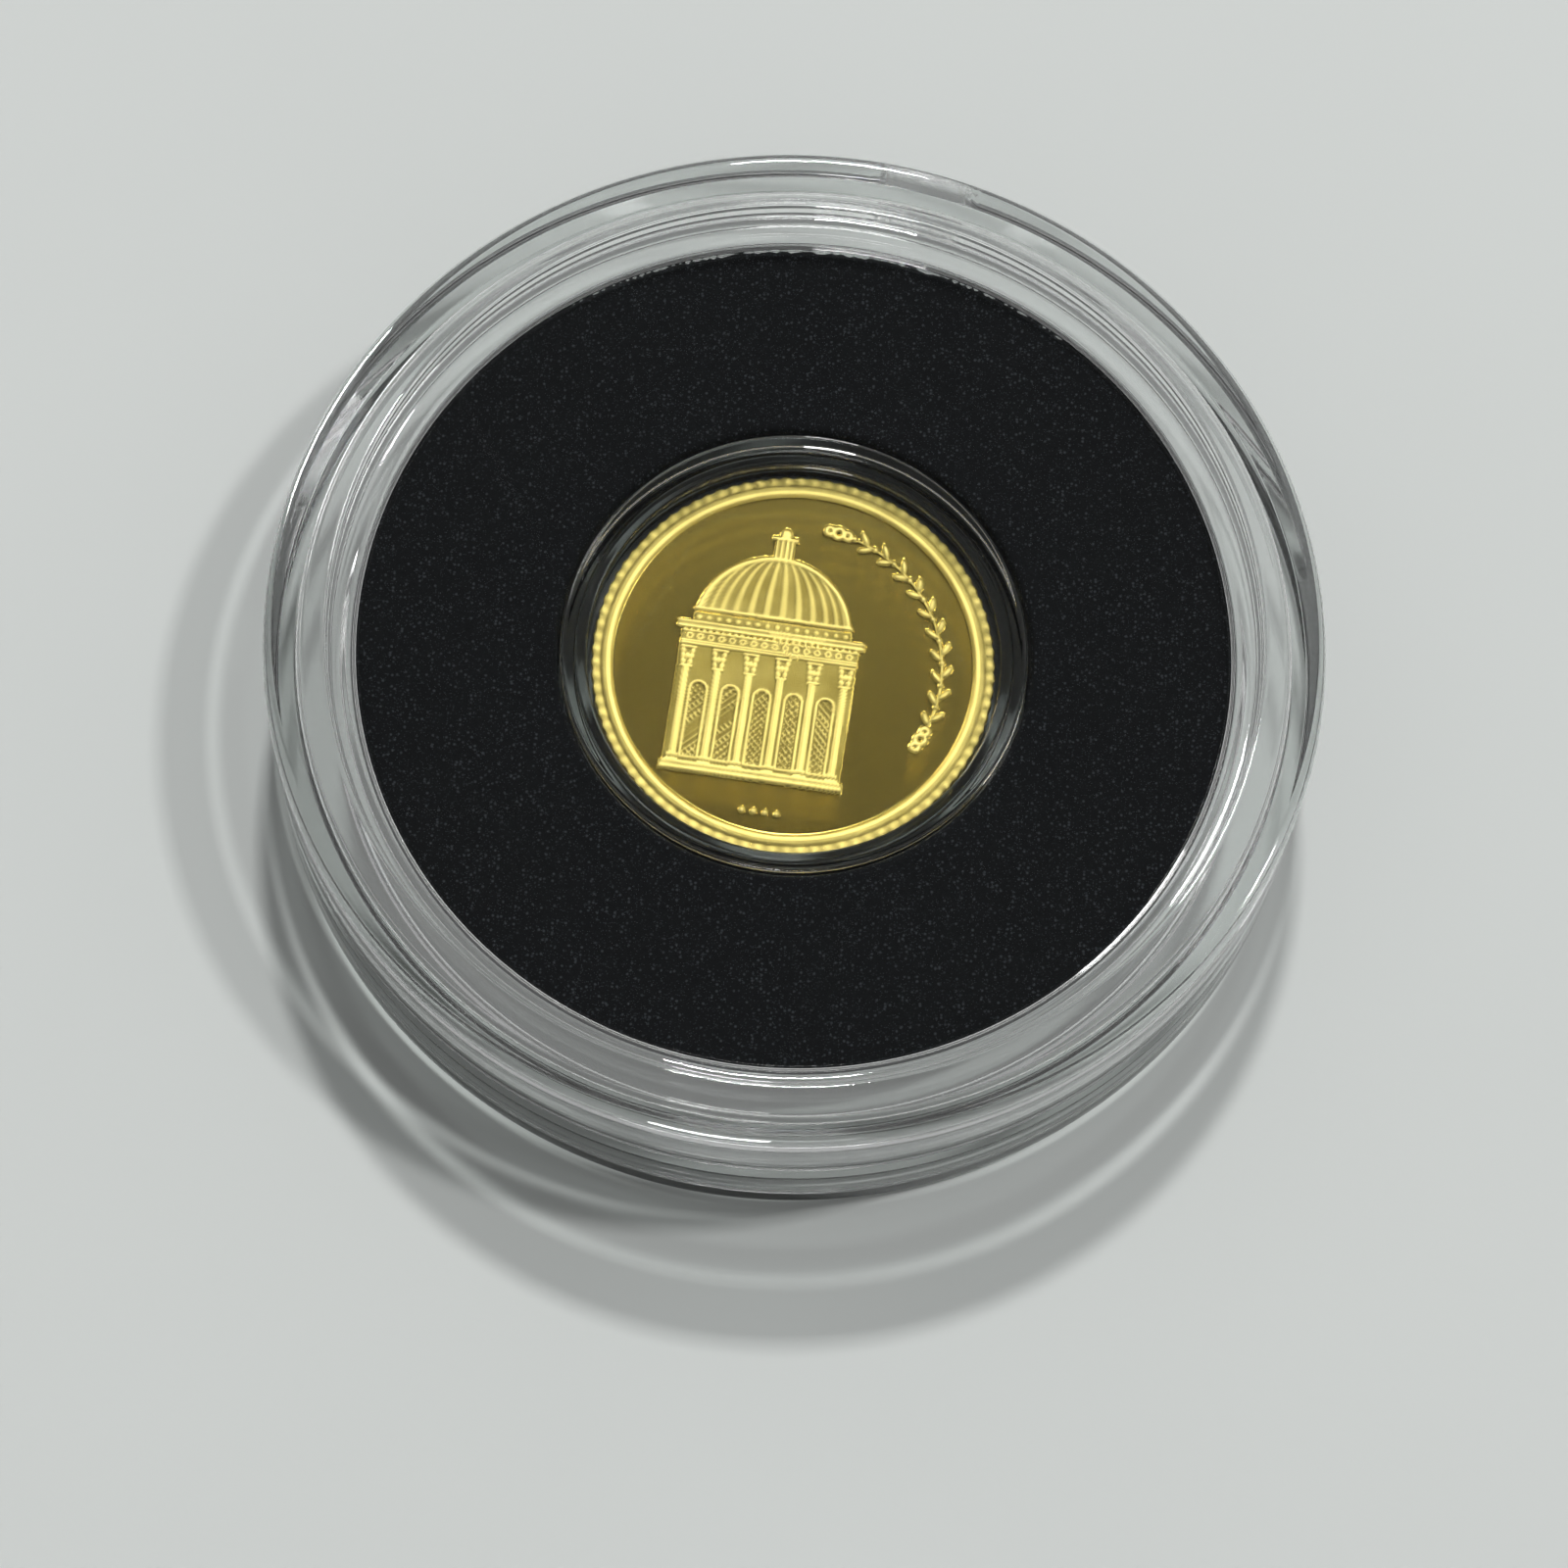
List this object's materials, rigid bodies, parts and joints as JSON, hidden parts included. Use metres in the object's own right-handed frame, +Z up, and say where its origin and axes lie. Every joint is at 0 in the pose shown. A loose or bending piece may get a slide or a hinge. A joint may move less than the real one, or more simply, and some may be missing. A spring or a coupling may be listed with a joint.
{
  "type": "coin capsule",
  "caption": "Round clear coin capsule in two press-fit halves, with a black foam ring that centres a small clear inner capsule and a small gold coin.",
  "frame": {"origin": "centre of the foot rim, on the surface that the closed capsule stands on", "axes": "+Z up through the windows, along the capsule's axis; +Y is the top of the coin's picture and +X its right"},
  "size_m": [0.036, 0.036, 0.0074],
  "materials": {
    "clear_shell": "clear polished acrylic",
    "clear_inner": "clear polished acrylic",
    "black_foam": "matt fine-celled foam",
    "gold": "polished gold with frosted relief"
  },
  "bodies": {
    "base": {"capsule_base": "clear_shell"},
    "insert": {"foam_ring": "black_foam"},
    "small_base": {"inner_base": "clear_inner"},
    "coin": {"coin": "gold"},
    "small_lid": {"inner_lid": "clear_inner"},
    "lid": {"capsule_lid": "clear_shell"}
  },
  "joints": [
    {"name": "insert_lift", "type": "slide", "parent": "base", "child": "insert", "axis": [0, 0, 1], "range_m": [0, 0.01]},
    {"name": "inner_capsule_lift", "type": "slide", "parent": "insert", "child": "small_base", "axis": [0, 0, 1], "range_m": [0, 0.008]},
    {"name": "coin_lift", "type": "slide", "parent": "small_base", "child": "coin", "axis": [0, 0, 1], "range_m": [0, 0.006]},
    {"name": "inner_lid_lift", "type": "slide", "parent": "coin", "child": "small_lid", "axis": [0, 0, 1], "range_m": [0, 0.006]},
    {"name": "lid_lift", "type": "slide", "parent": "small_lid", "child": "lid", "axis": [0, 0, 1], "range_m": [0, 0.012]}
  ]
}
